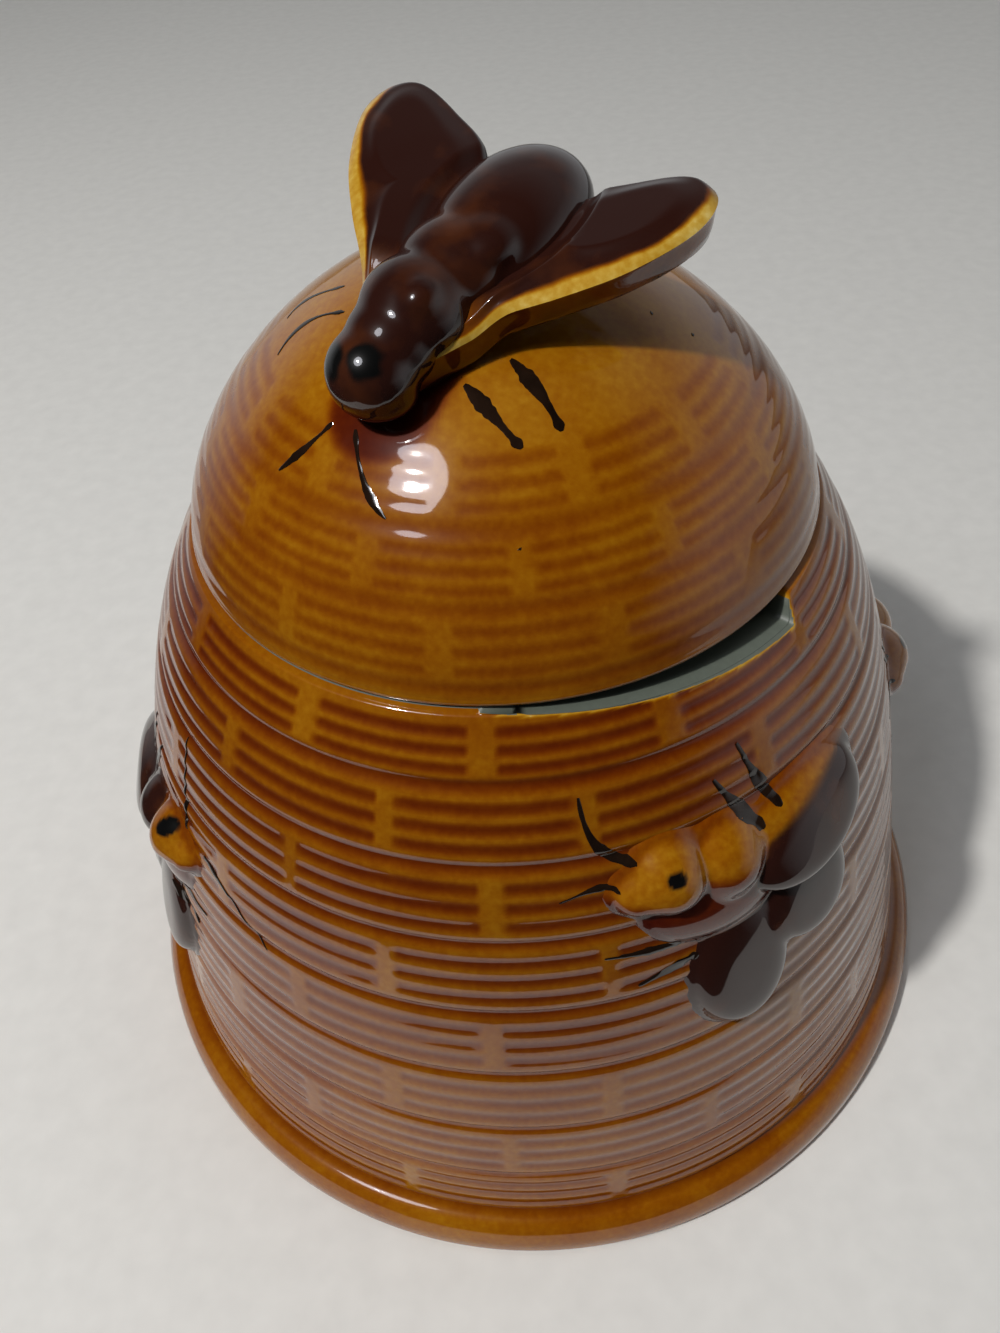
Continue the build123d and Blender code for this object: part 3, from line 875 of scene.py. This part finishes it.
# %% Strokes
near_bee_along, near_bee_up = (-8, 29), (-32, 12)
lid_slant, wall_slant = 1.8, 1.02
stroke_rows, stroke_columns = 90, 10
# A stroke is thin all along, widest at its bulge and has a dot near its end. These are shares of its size.
thin_share, bulge_reach, dot_share, dot_place, dot_reach = 0.34, 0.24, 0.30, 0.94, 0.07
stroke_raggedness, end_taper = 0.22, 14


def carved_wall(azimuth, z):
    """A point on the ribbed wall of the pot, in mm, with the relief of a bee where there is one."""
    radius = wall_radius(z) - rib_cut(z, azimuth, wall_radius(z), pot_bands, pot_ties)[0]
    for head_azimuth, head_z, facing, tilt in bee_heads.values():
        along = math.radians(azimuth - head_azimuth) * facing * wall_radius(head_z)
        up = z - head_z
        if near_bee_along[0] < along < near_bee_along[1] and near_bee_up[0] < up < near_bee_up[1]:
            spot = Matrix.Rotation(-math.radians(tilt), 2) @ Vector((along, up))
            radius = max(radius, wall_radius(z) + bee_relief(*spot)[0])
    return turned_to(Vector((0, -radius, z)), azimuth)


def carved_lid(azimuth, z):
    """A point on the ribbed lid, in mm."""
    radius = dome_radius(z)
    push = dome_normal(z) * rib_cut(z, azimuth, radius, lid_bands, lid_ties)[0] * lid_rib_share
    return turned_to(Vector((0, push.x - radius, z - push.y)), azimuth)


def brush_stroke(work, surface, slant, points, width, bulge=0.38, lift=0.06):
    """Lay one stroke on a surface. Its points are (azimuth, height), and its far end has a blunt dot.

    slant is how long 1 mm of height is when it is measured along the surface, and bulge says where the
    stroke is widest.
    """
    grid = bmesh.ops.create_grid(work, x_segments=stroke_rows, y_segments=stroke_columns, size=1)["verts"]
    first, last = Vector(points[0]), Vector(points[-1])
    middle = Vector(points[1]) if len(points) > 2 else (first + last) / 2
    for vert in grid:
        t, across = (vert.co.x + 1) / 2, vert.co.y
        spot = first * (1 - t) * (1 - 2 * t) + middle * 4 * t * (1 - t) + last * t * (2 * t - 1)
        step = first * (4 * t - 3) + middle * (4 - 8 * t) + last * (4 * t - 1)
        degree = math.radians(1) * math.hypot(*surface(*spot).xy)
        ahead = Vector((step.x * degree, step.y * slant)).normalized()
        ragged = 1 + stroke_raggedness * noise.noise(Vector((t * 6, spot.x, spot.y)))
        half = thin_share + (1 - thin_share) * math.exp(-((t - bulge) / bulge_reach) ** 2)
        half += dot_share * math.exp(-((t - dot_place) / dot_reach) ** 2)
        half *= width / 2 * ragged * min(1, (t + 0.02) * end_taper, (1.02 - t) * end_taper) ** 0.5
        side = Vector((-ahead.y / degree, ahead.x / slant)) * across * half
        place = surface(spot.x + side.x, spot.y + side.y)
        outwards = Vector((place.x, place.y, 0)).normalized() + Vector((0, 0, slant - 1))
        vert.co = (place + outwards.normalized() * lift * (1 - 0.5 * across ** 2)) * MM


lid_strokes = [
    ([(-51, 91.1), (-47, 93.1), (-43, 95.1)], 0.9), ([(-23, 90.8), (-28.5, 92.3), (-36, 95.2)], 0.9),
    ([(-9, 98.2), (-2, 96.9), (5, 94.9)], 1.5), ([(6, 99.2), (12, 97.6), (15, 95.4)], 1.5),
    ([(-95, 96), (-98, 97.5), (-89, 99.8)], 0.7), ([(-79, 95.4), (-82, 97.7), (-71, 99.5)], 0.7),
    ([(2, 89.3), (2.3, 89.2)], 0.5), ([(64, 98.3), (64.6, 98.2)], 0.5), ([(68, 96.0), (68.6, 95.9)], 0.5)]
# The strokes of a relief bee, along and up from its head: four legs, and each bee's own antennae.
bee_legs = [
    ([(7.8, 6.5), (9.6, 3.3), (11.8, 0.2)], 1.5), ([(11.4, 8.6), (12.7, 4.6), (14.3, 1.2)], 1.5),
    ([(-5.5, -8.9), (-1.8, -9.3), (1.9, -9.5)], 1.0), ([(-2.5, -13.8), (0.6, -12.9), (3.5, -12.0)], 1.4)]
bee_antennae = {
    "bee_front": [([(-6.4, 9.0), (-5.1, 4.1), (-1.6, 1.7)], 1.2),
                  ([(-9.2, -1.3), (-6.0, -0.3), (-3.6, -0.5)], 0.7)],
    "bee_left": [([(-1.4, 15.0), (-1.8, 6.5), (-2.0, 2.6)], 0.9),
                 ([(-17.0, -4.0), (-9.5, 0.6), (-6.0, 1.5)], 0.8)]}
bee_antennae["bee_right"] = bee_antennae["bee_front"]
brushed = bmesh.new()
for points, width in lid_strokes:
    brush_stroke(brushed, carved_lid, lid_slant, points, width)
bmesh.ops.recalc_face_normals(brushed, faces=brushed.faces)
finish(brushed, "lid_strokes", "lid", [brushed_black])
brushed = bmesh.new()
for name, (head_azimuth, head_z, facing, _) in bee_heads.items():
    for points, width in bee_legs + bee_antennae[name]:
        turned = [(head_azimuth + facing * math.degrees(x / wall_radius(head_z)), head_z + y)
                  for x, y in points]
        brush_stroke(brushed, carved_wall, wall_slant, turned, width, bulge=0.62, lift=0.10)
bmesh.ops.recalc_face_normals(brushed, faces=brushed.faces)
finish(brushed, "bee_strokes", "pot", [brushed_black])
